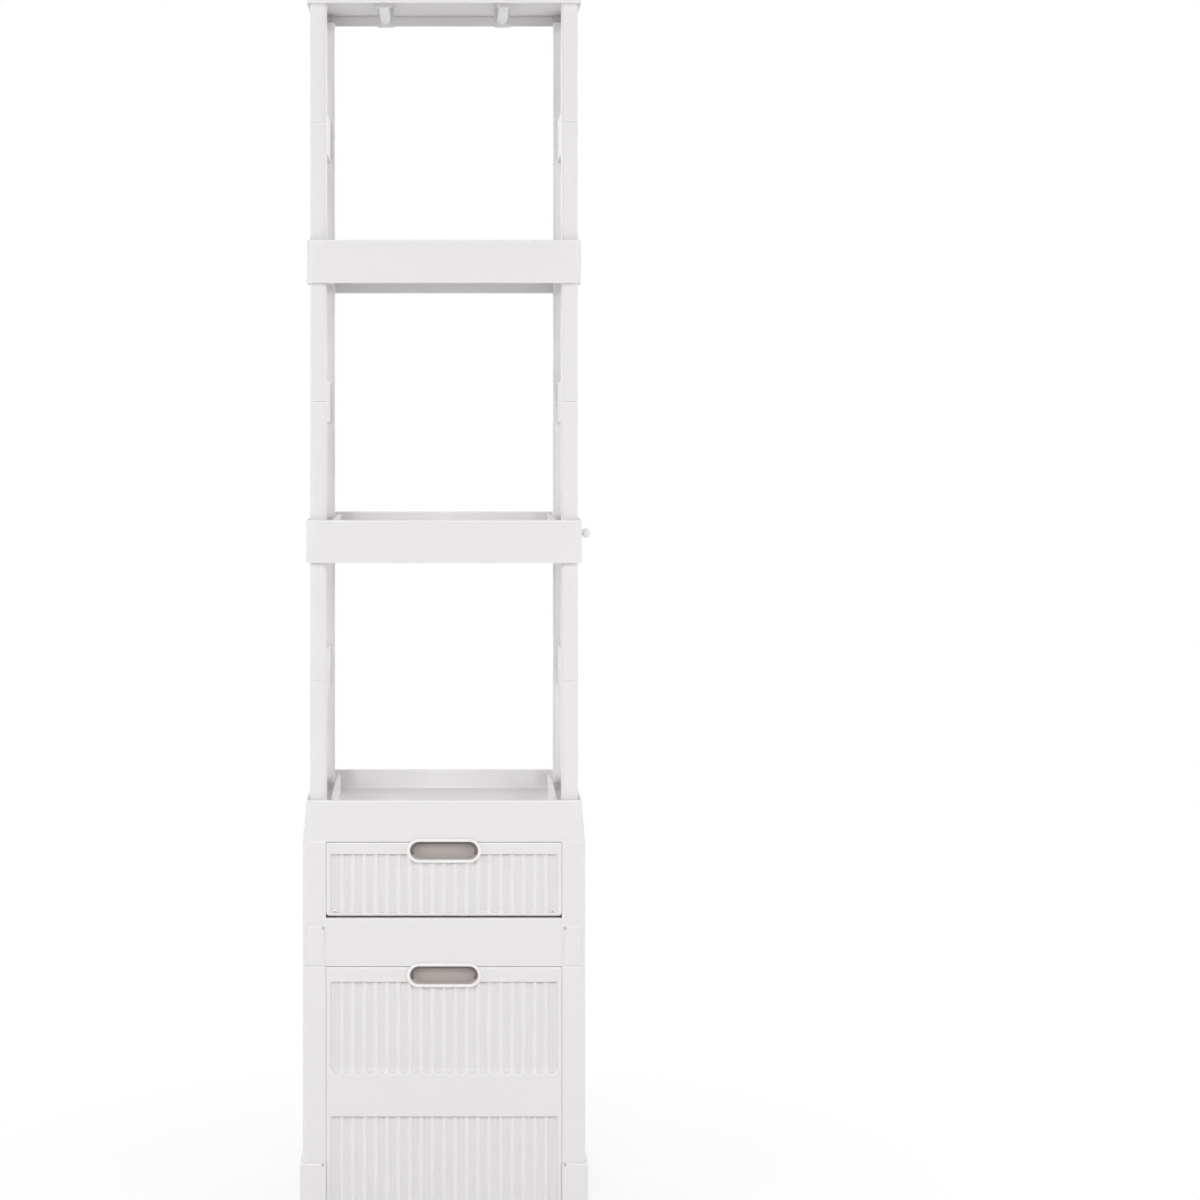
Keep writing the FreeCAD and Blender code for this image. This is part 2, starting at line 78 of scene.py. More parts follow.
# Noise scale of the upright flow marks, and the upward lean of the occlusion test for the painted shade,
# which darkens most under ledges

FLOW_SCALE = (60.0, 60.0, 3.0)
SHADE_LEAN = (0.0, 0.0, 0.7)

# Noise scales across and along a drawn bar, and the shade of its lines

LINES_ACROSS = 900.0
LINES_ALONG = 12.0
LINE_SHADE = 0.86

# Small sizes of the modelled details, in metres

LINER_ROUND = 0.0012
CLIP_DEPTH = 0.0012
CLIP_PROUD = 0.0003
CLIP_DISH = 0.0003
CLIP_ROUND = 0.0002
FOOT_ROUND = 0.002
TREAD_RIM = 0.0035
TREAD_RING = 0.0022
TREAD_SLOPE = 0.0005

# Places on a seam clip as shares of its radius

CLIP_DROP = 1.1
CLIP_ASIDE = 2.4
CLIP_BORDER = 0.35

# Depth under a liner's middle down to which its wall carries painted shade, as a share of its radius

SHADE_DOWN_TO = 0.6

# Picking parts of a mesh: room for rounding, and shares of a normal that face a way or slope from it

NEAR = 1e-6
OFF_MIDDLE = 1e-5
FACING = 0.9
SLOPING = 0.8

# Angles: the widest one shaded smooth, and the turn that makes a new shape face the front

SMOOTH_ANGLE = math.radians(35)
BEAD_ANGLE = math.radians(60)
FACE_FRONT = (math.pi / 2, 0, 0)

# Sockets of a Mix node that blends colours

MIX_FACTOR, MIX_FIRST, MIX_SECOND, MIX_RESULT = 0, 6, 7, 2

# Stage: floor, surround, and the camera with its sensor in millimetres and its shift in picture widths

FLOOR_SIZE = 60
SURROUND_STRENGTH = 0.32
SENSOR_WIDTH = 36
SHIFT_X, SHIFT_Y = 0.13, -0.156
VIEW_END = 100

# Lamps: name, place, aim, size and power; the paired ones stand on both sides

SIDES = (("left", -1), ("right", 1))
KEY_LAMP = ("key", (-0.5, -4.2, 3.6), (0, 0, 0.7), (0.6, 0.6), 38)
PAIRED_LAMPS = (
    ("fill", (2.4, -2.4, 1.6), (0, 0, -1.5), (1.0, 1.2), 28),
    ("side_fill", (2.8, -0.75, 1.3), (0, 0, 0.6), (0.8, 1.4), 15),
    ("rear_fill", (2.0, 2.8, 2.0), (0, 0, 0.6), (1.0, 1.4), 31))
OVERHEAD_LAMP = ("overhead", (0, 0.2, 4.4), (0, 0, 1.8), (1.2, 1.2), 17)


class WardrobeLooks(bpy.types.PropertyGroup):
    """Colours of the wardrobe's finishes that a user would change."""

    plastic: bpy.props.FloatVectorProperty(
        name="White plastic", description="Colour of the moulded white plastic",
        subtype="COLOR", size=3, min=0, max=1, default=(0.788, 0.776, 0.786))
    # Wear and painted highlight: the lighter colour laid along the plastic's edges
    plastic_edge_highlight: bpy.props.FloatVectorProperty(
        name="Plastic edges", description="Colour of the plastic along its handled edges",
        subtype="COLOR", size=3, min=0, max=1, default=(0.95, 0.94, 0.938))
    pull: bpy.props.FloatVectorProperty(
        name="Pull bead", description="Colour of the bead round a finger pull",
        subtype="COLOR", size=3, min=0, max=1, default=(0.87, 0.865, 0.86))
    cup: bpy.props.FloatVectorProperty(
        name="Pull cup", description="Colour of the grey liner inside a finger pull",
        subtype="COLOR", size=3, min=0, max=1, default=(0.475, 0.43, 0.415))
    # Painted shade: the dark colour of a liner's upper wall stands for the shadow in the recess
    cup_wall: bpy.props.FloatVectorProperty(
        name="Pull cup wall", description="Colour of the sloping wall round a finger pull's liner",
        subtype="COLOR", size=3, min=0, max=1, default=(0.13, 0.11, 0.106))
    steel: bpy.props.FloatVectorProperty(
        name="Steel", description="Colour of the drawn steel rods and pins",
        subtype="COLOR", size=3, min=0, max=1, default=(0.58, 0.58, 0.6))
    rail: bpy.props.FloatVectorProperty(
        name="Rail coat", description="Colour of the coated hanging rails",
        subtype="COLOR", size=3, min=0, max=1, default=(0.74, 0.74, 0.75))
    rubber: bpy.props.FloatVectorProperty(
        name="Rubber", description="Colour of the feet",
        subtype="COLOR", size=3, min=0, max=1, default=(0.2, 0.2, 0.205))
    clip: bpy.props.FloatVectorProperty(
        name="Seam clips", description="Colour of the snap buttons beside the seams",
        subtype="COLOR", size=3, min=0, max=1, default=(0.4, 0.37, 0.36))
    magnet: bpy.props.FloatVectorProperty(
        name="Catches", description="Colour of the door catches",
        subtype="COLOR", size=3, min=0, max=1, default=(0.42, 0.42, 0.43))


class WardrobeSizes(bpy.types.PropertyGroup):
    """Sizes of the modelled details and the place of the camera."""

    bead_width: bpy.props.FloatProperty(
        name="Bead width", description="Width of the bead round a finger pull",
        unit="LENGTH", min=0.002, max=0.008, default=0.0045)
    bead_sink: bpy.props.FloatProperty(
        name="Bead sink", description="Depth to which the bead is set into the door",
        unit="LENGTH", min=0, max=0.002, default=0.0004)
    clip_radius: bpy.props.FloatProperty(
        name="Clip radius", description="Radius of a snap button beside a seam",
        unit="LENGTH", min=0.001, max=0.005, default=0.002)
    liner_gap: bpy.props.FloatProperty(
        name="Liner gap", description="Room between a pull's liner and the door round it",
        unit="LENGTH", min=0, max=0.001, default=0.0002)
    liner_wall: bpy.props.FloatProperty(
        name="Liner wall", description="Wall thickness of a pull's liner",
        unit="LENGTH", min=0.0002, max=0.002, default=0.0006)
    cup_wall: bpy.props.FloatProperty(
        name="Cup wall", description="Thickness of the door behind a finger pull",
        unit="LENGTH", min=0.001, max=0.01, default=0.003)
    scoop_wide: bpy.props.FloatProperty(
        name="Scoop width", description="Width of a liner's back plate as a share of its mouth",
        subtype="FACTOR", min=0.5, max=1, default=0.92)
    scoop_tall: bpy.props.FloatProperty(
        name="Scoop height", description="Height of a liner's back plate as a share of its mouth",
        subtype="FACTOR", min=0.5, max=1, default=0.78)
    scoop_foot: bpy.props.FloatProperty(
        name="Scoop foot", description="Slope left along the bottom of a liner",
        unit="LENGTH", min=0, max=0.004, default=0.0006)
    foot_radius: bpy.props.FloatProperty(
        name="Foot radius", description="Radius of a rubber foot",
        unit="LENGTH", min=0.005, max=0.03, default=0.015)
    foot_tread: bpy.props.FloatProperty(
        name="Foot tread", description="Depth of the ring groove under a foot",
        unit="LENGTH", min=0, max=0.003, default=0.0012)
    camera_distance: bpy.props.FloatProperty(
        name="Camera distance", description="Distance of the camera in front of the wardrobe's middle",
        unit="LENGTH", min=1, max=10, default=3.805)
    camera_height: bpy.props.FloatProperty(
        name="Camera height", description="Height of the camera above the floor",
        unit="LENGTH", min=0.1, max=3, default=1.153)
    camera_lens: bpy.props.FloatProperty(
        name="Camera lens", description="Focal length in millimetres on a 36 mm sensor",
        min=10, max=200, default=77.2)


def looks():
    """The colours set in the scene."""
    return bpy.context.scene.wardrobe_looks


def sizes():
    """The sizes set in the scene."""
    return bpy.context.scene.wardrobe_sizes


# Node groups and materials

def new_group(name, inputs, outputs):
    """A shader node group with named sockets, its input node and its output node."""
    group = bpy.data.node_groups.new(name, "ShaderNodeTree")
    for label, kind, default in inputs:
        socket = group.interface.new_socket(label, in_out="INPUT", socket_type=kind)
        if default is not None:
            socket.default_value = default
    for label, kind in outputs:
        group.interface.new_socket(label, in_out="OUTPUT", socket_type=kind)
    return group, group.nodes.new("NodeGroupInput"), group.nodes.new("NodeGroupOutput")


def add(tree, kind, **values):
    """A node with attributes and input values set by name."""
    node = tree.nodes.new(kind)
    for key, value in values.items():
        if hasattr(node, key):
            setattr(node, key, value)
        else:
            node.inputs[key.replace("_", " ")].default_value = value
    return node


def remap(tree, source, low, high, to_low, to_high):
    """A value carried from one range to another, held at its ends."""
    node = add(tree, "ShaderNodeMapRange", From_Min=low, From_Max=high, To_Min=to_low, To_Max=to_high)
    tree.links.new(source, node.inputs["Value"])
    return node.outputs["Result"]


def feed(tree, socket, value):
    """Link an input to another socket, or set it to a plain value."""
    if isinstance(value, bpy.types.NodeSocket):
        tree.links.new(value, socket)
    else:
        socket.default_value = value


def blend_colours(tree, factor, first, second):
    """A colour mix whose inputs are sockets or plain colours."""
    node = add(tree, "ShaderNodeMix", data_type="RGBA", blend_type="MIX")
    for place, value in ((MIX_FACTOR, factor), (MIX_FIRST, first), (MIX_SECOND, second)):
        feed(tree, node.inputs[place], value)
    return node.outputs[MIX_RESULT]


def calculate(tree, operation, first, second):
    """The result of a math operation on two sockets or plain values."""
    node = add(tree, "ShaderNodeMath", operation=operation)
    for place, value in enumerate((first, second)):
        feed(tree, node.inputs[place], value)
    return node.outputs["Value"]


def times(tree, first, second):
    """The product of two sockets or plain values."""
    return calculate(tree, "MULTIPLY", first, second)


def seen_rays(tree):
    """One for the rays that show a surface, directly, in a gloss or through glass, else zero."""
    path = add(tree, "ShaderNodeLightPath")
    seen = calculate(tree, "MAXIMUM", path.outputs["Is Camera Ray"], path.outputs["Is Glossy Ray"])
    return calculate(tree, "MAXIMUM", seen, path.outputs["Is Transmission Ray"])


def show_blend(tree, factor, first, second, output):
    """Send a blend of two shader nodes to the tree's output."""
    mixed = add(tree, "ShaderNodeMixShader")
    tree.links.new(factor, mixed.inputs[0])
    tree.links.new(first.outputs[0], mixed.inputs[1])
    tree.links.new(second.outputs[0], mixed.inputs[2])
    tree.links.new(mixed.outputs[0], tree.nodes[output].inputs["Surface"])


def moulded_skin():
    """Tone drift, fine grain and flow marks of injection-moulded plastic."""
    group, enter, leave = new_group(
        "moulded_skin",
        [("Tint", "NodeSocketColor", (0.8, 0.8, 0.8, 1)), ("Drift", "NodeSocketFloat", 0.03),
         ("Gloss low", "NodeSocketFloat", 0.34), ("Gloss high", "NodeSocketFloat", 0.46)],
        [("Color", "NodeSocketColor"), ("Roughness", "NodeSocketFloat"), ("Height", "NodeSocketFloat")])
    place = add(group, "ShaderNodeTexCoord").outputs["Object"]
    drift = add(group, "ShaderNodeTexNoise", Scale=5.5, Detail=3.0, Roughness=0.55)
    grain = add(group, "ShaderNodeTexNoise", Scale=1500.0, Detail=2.0, Roughness=0.6)
    stretch = add(group, "ShaderNodeMapping")
    stretch.inputs["Scale"].default_value = FLOW_SCALE
    flow = add(group, "ShaderNodeTexNoise", Scale=1.0, Detail=3.0, Distortion=0.6)
    group.links.new(place, stretch.inputs["Vector"])
    group.links.new(stretch.outputs["Vector"], flow.inputs["Vector"])
    for node in (drift, grain):
        group.links.new(place, node.inputs["Vector"])
    shade = remap(group, drift.outputs["Fac"], 0.3, 0.7, 0.0, 1.0)
    cool = blend_colours(group, enter.outputs["Drift"], enter.outputs["Tint"], COOL_TONE)
    warm = blend_colours(group, enter.outputs["Drift"], enter.outputs["Tint"], WARM_TONE)
    group.links.new(blend_colours(group, shade, cool, warm), leave.inputs["Color"])
    marks = times(group, remap(group, flow.outputs["Fac"], 0.35, 0.7, 0.0, 1.0), 0.35)
    mixed = calculate(group, "ADD", times(group, grain.outputs["Fac"], 0.65), marks)
    span = calculate(group, "SUBTRACT", enter.outputs["Gloss high"], enter.outputs["Gloss low"])
    rough = calculate(group, "ADD", times(group, mixed, span), enter.outputs["Gloss low"])
    group.links.new(rough, leave.inputs["Roughness"])
    group.links.new(mixed, leave.inputs["Height"])
    return group


def handled_edges():
    """Softened corner normals, and a mask of the corners that hands polish, with painted highlight along
    the edges, upward ones the most.
    """
    group, enter, leave = new_group(
        "handled_edges",
        [("Bump", "NodeSocketVector", None), ("Strength", "NodeSocketFloat", 0.8)],
        [("Mask", "NodeSocketFloat"), ("Normal", "NodeSocketVector")])
    soft = add(group, "ShaderNodeBevel", samples=6, Radius=SOFT_EDGE)
    wide = add(group, "ShaderNodeBevel", samples=6, Radius=WORN_AND_LIT_EDGE)
    flat = add(group, "ShaderNodeNewGeometry")
    turn = add(group, "ShaderNodeVectorMath", operation="DOT_PRODUCT")
    lean = add(group, "ShaderNodeVectorMath", operation="SUBTRACT")
    for node in (turn, lean):
        group.links.new(wide.outputs["Normal"], node.inputs[0])
        group.links.new(flat.outputs["Normal"], node.inputs[1])
    edge = remap(group, turn.outputs["Value"], 0.997, 0.85, 0.0, 0.8)
    own = add(group, "ShaderNodeVectorTransform", vector_type="VECTOR",
              convert_from="WORLD", convert_to="OBJECT")
    group.links.new(lean.outputs["Vector"], own.inputs["Vector"])
    rise = add(group, "ShaderNodeSeparateXYZ")
    group.links.new(own.outputs["Vector"], rise.inputs["Vector"])
    # Painted highlight: edges whose neighbours face up are lightened as if they caught light from above
    upper = remap(group, rise.outputs["Z"], 0.02, 0.16, 0.0, 1.25)
    rub = add(group, "ShaderNodeTexNoise", Scale=38.0, Detail=4.0)
    group.links.new(add(group, "ShaderNodeTexCoord").outputs["Object"], rub.inputs["Vector"])
    rubbed = remap(group, rub.outputs["Fac"], 0.25, 0.6, 0.6, 1.0)
    worn_and_lit = times(group, calculate(group, "MAXIMUM", edge, upper), rubbed)
    group.links.new(times(group, worn_and_lit, enter.outputs["Strength"]), leave.inputs["Mask"])
    group.links.new(enter.outputs["Bump"], soft.inputs["Normal"])
    group.links.new(soft.outputs["Normal"], leave.inputs["Normal"])
    return group


def settled_dust():
    """Thin dust on faces that look upwards."""
    group, enter, leave = new_group(
        "settled_dust",
        [("Color", "NodeSocketColor", (0.8, 0.8, 0.8, 1)), ("Amount", "NodeSocketFloat", 0.25)],
        [("Color", "NodeSocketColor"), ("Mask", "NodeSocketFloat")])
    place = add(group, "ShaderNodeTexCoord")
    facing = add(group, "ShaderNodeSeparateXYZ")
    group.links.new(place.outputs["Normal"], facing.inputs[0])
    upward = remap(group, facing.outputs["Z"], 0.75, 1.0, 0.0, 1.0)
    cloud = add(group, "ShaderNodeTexNoise", Scale=26.0, Detail=6.0, Roughness=0.65)
    group.links.new(place.outputs["Object"], cloud.inputs["Vector"])
    patch = remap(group, cloud.outputs["Fac"], 0.35, 0.75, 0.2, 1.0)
    mask = times(group, times(group, upward, patch), enter.outputs["Amount"])
    dusty = blend_colours(group, mask, enter.outputs["Color"], DUST_TONE)
    group.links.new(dusty, leave.inputs["Color"])
    group.links.new(mask, leave.inputs["Mask"])
    return group


def corner_grime():
    """Painted shade in inner corners, darkest under a ledge such as the upper end of a flute."""
    group, enter, leave = new_group(
        "corner_grime",
        [("Color", "NodeSocketColor", (0.8, 0.8, 0.8, 1)), ("Amount", "NodeSocketFloat", 0.5)],
        [("Color", "NodeSocketColor")])
    place = add(group, "ShaderNodeTexCoord")
    lean = add(group, "ShaderNodeVectorMath", operation="ADD")
    lean.inputs[1].default_value = SHADE_LEAN
    group.links.new(place.outputs["Normal"], lean.inputs[0])
    level = add(group, "ShaderNodeVectorMath", operation="NORMALIZE")
    group.links.new(lean.outputs["Vector"], level.inputs[0])
    turned = add(group, "ShaderNodeVectorTransform", vector_type="NORMAL",
                 convert_from="OBJECT", convert_to="WORLD")
    group.links.new(level.outputs["Vector"], turned.inputs["Vector"])
    corner = add(group, "ShaderNodeAmbientOcclusion", samples=8, only_local=True, Distance=SHADE_REACH)
    group.links.new(turned.outputs["Vector"], corner.inputs["Normal"])
    # Painted shade: occlusion in inner corners darkens the colour, upward faces much less
    deep = remap(group, corner.outputs["AO"], 0.7, 0.35, 0.0, 1.0)
    facing = add(group, "ShaderNodeSeparateXYZ")
    group.links.new(place.outputs["Normal"], facing.inputs[0])
    sheltered = remap(group, facing.outputs["Z"], 0.2, 0.7, 1.0, 0.2)
    cloud = add(group, "ShaderNodeTexNoise", Scale=60.0, Detail=4.0)
    group.links.new(place.outputs["Object"], cloud.inputs["Vector"])
    patch = remap(group, cloud.outputs["Fac"], 0.3, 0.65, 0.6, 1.0)
    mask = times(group, times(group, times(group, deep, patch), sheltered), enter.outputs["Amount"])
    corner_shaded = blend_colours(group, mask, enter.outputs["Color"], CORNER_SHADE_TONE)
    group.links.new(corner_shaded, leave.inputs["Color"])
    return group


def drawn_lines():
    """Fine lines left along a drawn bar that lies front to back or across."""
    group, enter, leave = new_group(
        "drawn_lines", [("Along", "NodeSocketVector", None)],
        [("Height", "NodeSocketFloat"), ("Roughness", "NodeSocketFloat")])
    squeeze = add(group, "ShaderNodeMapping")
    group.links.new(enter.outputs["Along"], squeeze.inputs["Scale"])
    group.links.new(add(group, "ShaderNodeTexCoord").outputs["Object"], squeeze.inputs["Vector"])
    lines = add(group, "ShaderNodeTexNoise", Scale=1.0, Detail=4.0)
    group.links.new(squeeze.outputs["Vector"], lines.inputs["Vector"])
    group.links.new(lines.outputs["Fac"], leave.inputs["Height"])
    group.links.new(remap(group, lines.outputs["Fac"], 0.3, 0.7, 0.22, 0.4), leave.inputs["Roughness"])
    return group


GROUPS = {}


def placed(tree, name):
    """A shared effect placed in a material."""
    makers = {"moulded_skin": moulded_skin, "handled_edges": handled_edges,
              "settled_dust": settled_dust, "corner_grime": corner_grime, "drawn_lines": drawn_lines}
    if name not in GROUPS:
        GROUPS[name] = makers[name]()
    node = tree.nodes.new("ShaderNodeGroup")
    node.node_tree = GROUPS[name]
    return node


def new_material(name):
    """A material with its node tree and its surface shader."""
    material = bpy.data.materials.new(name)
    material.use_nodes = True
    tree = material.node_tree
    return material, tree, tree.nodes["Principled BSDF"]


def plastic(name, tint, edge, gloss=(0.42, 0.55), dust=0.1, grain=0.00003, edge_wear_and_light=0.8):
    """Moulded plastic with edge wear and painted highlight along its edges, painted shade in its corners
    and a little dust on its upward faces.
    """
    material, tree, surface = new_material(name)
    skin = placed(tree, "moulded_skin")
    skin.inputs["Tint"].default_value = (*tint, 1)
    skin.inputs["Gloss low"].default_value = gloss[0]
    skin.inputs["Gloss high"].default_value = gloss[1]
    bump = add(tree, "ShaderNodeBump", Strength=0.25, Distance=grain)
    tree.links.new(skin.outputs["Height"], bump.inputs["Height"])
    edges = placed(tree, "handled_edges")
    edges.inputs["Strength"].default_value = edge_wear_and_light
    tree.links.new(bump.outputs["Normal"], edges.inputs["Bump"])
    # Edge wear with painted highlight along the edges
    lit = blend_colours(tree, edges.outputs["Mask"], skin.outputs["Color"], (*edge, 1))
    dusty = placed(tree, "settled_dust")
    dusty.inputs["Amount"].default_value = dust
    # Painted shade in the inner corners and under ledges
    corner_shaded = placed(tree, "corner_grime")
    tree.links.new(lit, corner_shaded.inputs["Color"])
    tree.links.new(corner_shaded.outputs["Color"], dusty.inputs["Color"])
    tree.links.new(dusty.outputs["Color"], surface.inputs["Base Color"])
    rough = calculate(tree, "ADD", times(tree, dusty.outputs["Mask"], 0.4), skin.outputs["Roughness"])
    tree.links.new(rough, surface.inputs["Roughness"])
    tree.links.new(edges.outputs["Normal"], surface.inputs["Normal"])
    surface.inputs["IOR"].default_value = 1.47
    surface.inputs["Specular IOR Level"].default_value = 0.42
    return material


def drawn_steel(name, tint, along):
    """Drawn steel bar with fine lines along its length."""
    material, tree, surface = new_material(name)
    lines = placed(tree, "drawn_lines")
    lines.inputs["Along"].default_value = along
    bump = add(tree, "ShaderNodeBump", Strength=0.2, Distance=0.00002)
    tree.links.new(lines.outputs["Height"], bump.inputs["Height"])
    tree.links.new(bump.outputs["Normal"], surface.inputs["Normal"])
    tree.links.new(lines.outputs["Roughness"], surface.inputs["Roughness"])
    dark = (*[part * LINE_SHADE for part in tint], 1)
    shade = blend_colours(tree, lines.outputs["Height"], dark, (*tint, 1))
    tree.links.new(shade, surface.inputs["Base Color"])
    surface.inputs["Metallic"].default_value = 1.0
    return material


def rubber(name, tint):
    """Matt rubber with a mottled tone, and scuffs with painted highlight along its edges."""
    material, tree, surface = new_material(name)
    skin = placed(tree, "moulded_skin")
    skin.inputs["Tint"].default_value = (*tint, 1)
    skin.inputs["Drift"].default_value = 0.05
    skin.inputs["Gloss low"].default_value = 0.66
    skin.inputs["Gloss high"].default_value = 0.9
    bump = add(tree, "ShaderNodeBump", Strength=0.4, Distance=0.00008)
    tree.links.new(skin.outputs["Height"], bump.inputs["Height"])
    edges = placed(tree, "handled_edges")
    edges.inputs["Strength"].default_value = 0.5
    tree.links.new(bump.outputs["Normal"], edges.inputs["Bump"])
    # Scuffs with painted highlight along the edges
    scuffed_and_lit = blend_colours(tree, edges.outputs["Mask"], skin.outputs["Color"], SCUFF_AND_LIT_TONE)
    tree.links.new(scuffed_and_lit, surface.inputs["Base Color"])
    tree.links.new(skin.outputs["Roughness"], surface.inputs["Roughness"])
    tree.links.new(edges.outputs["Normal"], surface.inputs["Normal"])
    return material


def give(piece, material):
    """Make a material the piece's only one."""
    piece.data.materials.clear()
    piece.data.materials.append(material)


# Modelling helpers

def clear_selection():
    """Go back to object mode with nothing selected."""
    if bpy.context.object and bpy.context.object.mode != "OBJECT":
        bpy.ops.object.mode_set(mode="OBJECT")
    bpy.ops.object.select_all(action="DESELECT")


def edit(piece):
    """Open one piece in edit mode with nothing selected."""
    clear_selection()
    bpy.context.view_layer.objects.active = piece
    piece.select_set(True)
    bpy.ops.object.mode_set(mode="EDIT")
    bpy.ops.mesh.select_all(action="DESELECT")


def pick(piece, kind, test):
    """Select the open piece's vertices, edges or faces that pass a test on their middle and normal."""
    mesh = bmesh.from_edit_mesh(piece.data)
    bpy.ops.mesh.select_mode(type={"verts": "VERT", "edges": "EDGE", "faces": "FACE"}[kind])
    bpy.ops.mesh.select_all(action="DESELECT")
    for part in getattr(mesh, kind):
        if kind == "verts":
            middle = part.co
        else:
            middle = sum((corner.co for corner in part.verts), Vector()) / len(part.verts)
        normal = part.normal if kind != "edges" else None
        if test(middle, normal):
            part.select_set(True)
    mesh.select_flush_mode()
    bmesh.update_edit_mesh(piece.data)


def make_capsule(piece, reach):
    """Pull the halves of the open round piece apart sideways, so that it becomes a capsule."""
    for side in (-1, 1):
        pick(piece, "verts", lambda at, normal: at.x * side > OFF_MIDDLE)
        bpy.ops.transform.translate(value=(side * reach, 0, 0))


def close(piece, smooth=SMOOTH_ANGLE):
    """Leave edit mode, put the piece's place in its mesh and shade it."""
    bpy.ops.object.mode_set(mode="OBJECT")
    clear_selection()
    bpy.context.view_layer.objects.active = piece
    piece.select_set(True)
    bpy.ops.object.transform_apply(location=True, rotation=True, scale=True)
    bpy.ops.object.shade_smooth_by_angle(angle=smooth)
    clear_selection()


def named(name):
    """The newest object, renamed."""
    piece = bpy.context.object
    piece.name = name
    piece.data.name = name
    return piece


class WARDROBE_OT_finishes(bpy.types.Operator):
    """Give every solid of the wardrobe its finish"""

    bl_idname = "wardrobe.finishes"
    bl_label = "Finishes"

    def execute(self, context):
        tone = looks()
        white = plastic("satin_white", tone.plastic, tone.plastic_edge_highlight)
        steel = drawn_steel("drawn_steel_depth", tone.steel, (LINES_ACROSS, LINES_ALONG, LINES_ACROSS))
        pin = drawn_steel("drawn_steel_across", tone.steel, (LINES_ALONG, LINES_ACROSS, LINES_ACROSS))
        rail = plastic("coated_rail", tone.rail, tone.plastic_edge_highlight, gloss=(0.2, 0.3), grain=0.00001)
        foot = rubber("foot_rubber", tone.rubber)
        catch = plastic("catch_grey", tone.magnet, tone.rail)
        for name, node in NODES.items():
            if name.endswith("_rod"):
                give(node, steel)
            elif name.endswith("_pins"):
                give(node, pin)
            elif name.endswith("_rail"):
                give(node, rail)
            elif name == "feet":
                give(node, foot)
            elif name == "door_catches":
                give(node, catch)
            else:
                give(node, white)
        return {"FINISHED"}


class WARDROBE_OT_finger_pulls(bpy.types.Operator):
    """Model the rounded bead and the grey liner of each finger pull"""

    bl_idname = "wardrobe.finger_pulls"
    bl_label = "Finger pulls"

    def form(self, door):
        """Half a pull's height, the reach of its straight part and the height of its middle."""
        low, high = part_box(f"{door}_pull")
        half = (high[2] - low[2]) / 2
        return half, (high[0] - low[0]) / 2 - half, (low[2] + high[2]) / 2

    def bead(self, door, material):
        """The bead that stands round a pull."""
        low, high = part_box(f"{door}_pull")
        half, reach, middle = self.form(door)
        wide = sizes().bead_width
        deep = high[1] - low[1] + sizes().bead_sink
        clear_selection()
        bpy.ops.mesh.primitive_torus_add(
            major_radius=half - wide / 2, minor_radius=wide / 2, major_segments=72, minor_segments=20,
            rotation=FACE_FRONT)
        piece = named(f"{door}_pull_bead")
        bpy.ops.object.transform_apply(rotation=True)
        edit(piece)
        make_capsule(piece, reach)
        bpy.ops.mesh.select_all(action="SELECT")
        bpy.ops.transform.resize(value=(1, deep / wide, 1))
        bpy.ops.transform.translate(value=(0, low[1] + deep / 2, middle))
        close(piece, BEAD_ANGLE)
        give(piece, material)
        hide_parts(f"{door}_pull")
        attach(piece, f"{door}_door")

    def liner(self, door, plate, wall):
        """The grey cup inside a pull, with a back plate and painted shade on its wall down from the top.
        """
        half, reach, middle = self.form(door)
        door_low, door_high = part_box(f"{door}_door")
        place = sizes()
        radius = half - place.bead_width - place.liner_gap
        front = door_low[1] + place.liner_gap
        back = door_high[1] - place.cup_wall - place.liner_gap
        clear_selection()
        bpy.ops.mesh.primitive_cylinder_add(
            vertices=64, radius=radius, depth=back - front, rotation=FACE_FRONT,
            location=(0, (front + back) / 2, middle))
        piece = named(f"{door}_pull_liner")
        bpy.ops.object.transform_apply(location=True, rotation=True)
        edit(piece)
        make_capsule(piece, reach)
        pick(piece, "faces", lambda at, normal: normal.y < -FACING)
        bpy.ops.mesh.delete(type="FACE")
        pick(piece, "verts", lambda at, normal: abs(at.y - back) < NEAR)
        bpy.ops.transform.resize(value=(place.scoop_wide, 1, place.scoop_tall))
        bpy.ops.transform.translate(value=(0, 0, place.scoop_foot - radius * (1 - place.scoop_tall)))
        pick(piece, "edges", lambda at, normal: abs(at.y - back) < NEAR)
        bpy.ops.mesh.bevel(offset=LINER_ROUND, segments=3, affect="EDGES")
        bpy.ops.mesh.select_all(action="SELECT")
        bpy.ops.mesh.bisect(
            plane_co=(0, 0, door_high[2] - place.liner_gap), plane_no=(0, 0, 1), clear_outer=True)
        give(piece, plate)
        piece.data.materials.append(wall)
        piece.active_material_index = 1
        # Painted shade on the wall's upper part and ends
        shade_low = middle - SHADE_DOWN_TO * radius
        pick(piece, "faces", lambda at, normal: abs(normal.y) < SLOPING and at.z > shade_low)
        bpy.ops.object.material_slot_assign()
        close(piece)
        thick = piece.modifiers.new("thickness", "SOLIDIFY")
        thick.thickness = place.liner_wall
        bpy.context.view_layer.objects.active = piece
        bpy.ops.object.modifier_apply(modifier="thickness")
        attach(piece, f"{door}_door")

    def execute(self, context):
        tone = looks()
        white = plastic("pull_white", tone.pull, BEAD_EDGE, gloss=(0.24, 0.32), dust=0.0)
        plate = plastic("liner_plate", tone.cup, PLATE_EDGE, gloss=(0.4, 0.55), dust=0.0, edge_wear_and_light=0.3)
        # Painted shade for the liner's wall
        wall = plastic("liner_wall", tone.cup_wall, tone.cup, gloss=(0.45, 0.6), dust=0.0, edge_wear_and_light=0.2)
        for door in ("lower", "upper"):
            self.bead(door, white)
            self.liner(door, plate, wall)
        return {"FINISHED"}


